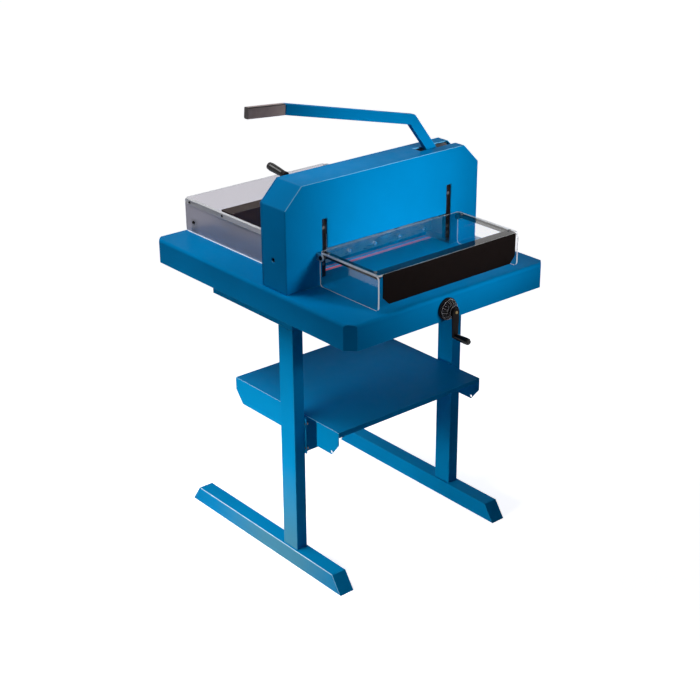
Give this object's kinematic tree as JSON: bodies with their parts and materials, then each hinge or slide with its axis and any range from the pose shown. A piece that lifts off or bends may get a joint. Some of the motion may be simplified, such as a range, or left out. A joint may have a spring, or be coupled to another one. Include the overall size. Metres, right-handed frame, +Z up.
{
  "type": "guillotine paper cutter",
  "caption": "Lever-operated guillotine for paper stacks on a floor stand, with a hand-cranked back gauge, hand clamp, hinged clear front guard and waste shelf.",
  "frame": {"origin": "centre of the outline on the floor", "axes": "+X to the operator's right, +Y from the operator's front to the rear, +Z up"},
  "size_m": [0.7808, 0.9754, 1.3607],
  "materials": {
    "blue_paint": "semi-gloss structured blue paint",
    "bolt_steel": "zinc plated",
    "grey_iron": "machined grey cast iron",
    "machined_steel": "ground steel",
    "knife_steel": "mirror-ground blade steel",
    "red_plastic": "matte red",
    "gauge_brown": "dark browned casting",
    "brass": "turned",
    "black_plastic": "glossy black",
    "black_paint": "satin black",
    "grip_sleeve": "matte grey-brown soft plastic",
    "clear_acrylic": "clear polished acrylic"
  },
  "bodies": {
    "frame": {"feet": "blue_paint", "foot_caps": "blue_paint", "posts": "blue_paint", "bearers": "blue_paint", "cross_brace": "blue_paint", "brace_bolts": "bolt_steel", "shelf": "blue_paint", "table_pan": "blue_paint", "bed_rails": "grey_iron", "cutting_stick": "red_plastic", "screw_bearings": "grey_iron", "crank_plate": "black_plastic", "housing_cover": "blue_paint", "rear_panel": "blue_paint", "side_frames": "grey_iron", "front_tie": "grey_iron", "rear_tie": "grey_iron", "tie_bolts": "bolt_steel", "lever_shaft": "machined_steel", "depth_screw": "black_paint", "clamp_bush": "brass", "rod_guides": "grey_iron", "bay_left": "clear_acrylic", "bay_right": "clear_acrylic", "bay_back": "clear_acrylic", "bay_strips": "clear_acrylic", "bay_brackets": "machined_steel", "bay_screws": "black_paint", "guard_brackets": "black_paint"},
    "knife_slide": {"knife_carrier": "machined_steel", "slide_bars": "black_paint", "slide_bolts": "bolt_steel", "knife": "knife_steel", "knife_bolts": "bolt_steel", "carrier_rack": "machined_steel"},
    "lever": {"lever_bar": "blue_paint", "lever_sector": "grey_iron", "lever_grip": "grip_sleeve"},
    "clamp": {"clamp_beam": "machined_steel", "clamp_rack": "machined_steel", "clamp_rods": "machined_steel"},
    "clamp_crank": {"clamp_pinion": "grey_iron", "clamp_shaft": "machined_steel", "clamp_arm": "black_paint"},
    "clamp_knob": {"clamp_grip": "black_plastic"},
    "gauge": {"gauge_casting": "gauge_brown", "gauge_nut": "brass"},
    "gauge_crank": {"gauge_screw": "machined_steel", "thrust_collar": "bolt_steel", "crank_hub": "black_plastic", "crank_arm": "black_paint", "crank_screw": "brass"},
    "crank_knob": {"crank_grip": "black_plastic"},
    "front_guard": {"guard_left": "clear_acrylic", "guard_right": "clear_acrylic", "guard_top": "clear_acrylic", "guard_front": "black_plastic", "guard_arms": "black_paint", "guard_screws": "bolt_steel", "guard_pins": "black_paint"}
  },
  "joints": [
    {"name": "lever_swing", "type": "hinge", "parent": "frame", "child": "lever", "pos_m": [0.29441, -0.08635, 1.039], "axis": [0, 1, 0], "range_deg": [-6.06, 63.52]},
    {"name": "knife_lift", "type": "slide", "parent": "frame", "child": "knife_slide", "axis": [0, 0, 1], "range_m": [-0.0074, 0.0776]},
    {"name": "clamp_turn", "type": "hinge", "parent": "frame", "child": "clamp_crank", "pos_m": [-0.19959, -0.01435, 1.046], "axis": [0, 1, 0], "range_deg": [0, 111.73]},
    {"name": "clamp_press", "type": "slide", "parent": "frame", "child": "clamp", "axis": [0, 0, -1], "range_m": [0, 0.078]},
    {"name": "clamp_knob_spin", "type": "hinge", "parent": "clamp_crank", "child": "clamp_knob", "pos_m": [-0.22073, -0.00435, 1.13759], "axis": [-0.0371, 0.9863, 0.1608], "continuous": true},
    {"name": "gauge_crank_turn", "type": "hinge", "parent": "frame", "child": "gauge_crank", "pos_m": [0.00441, -0.40035, 0.817], "axis": [0, 1, 0], "range_deg": [-11196, 2160]},
    {"name": "gauge_travel", "type": "slide", "parent": "frame", "child": "gauge", "axis": [0, 1, 0], "range_m": [-0.311, 0.06]},
    {"name": "crank_knob_spin", "type": "hinge", "parent": "gauge_crank", "child": "crank_knob", "pos_m": [0.00441, -0.46035, 0.748], "axis": [0, 1, 0], "continuous": true},
    {"name": "guard_swing", "type": "hinge", "parent": "frame", "child": "front_guard", "pos_m": [0.04041, -0.14735, 0.94], "axis": [-1, 0, 0], "range_deg": [0, 80]}
  ],
  "couplings": [
    {"joint": "knife_lift", "follows": "lever_swing", "m_per_rad": 0.07},
    {"joint": "clamp_press", "follows": "clamp_turn", "m_per_rad": 0.04},
    {"joint": "gauge_travel", "follows": "gauge_crank_turn", "m_per_rad": 0.0015915}
  ]
}
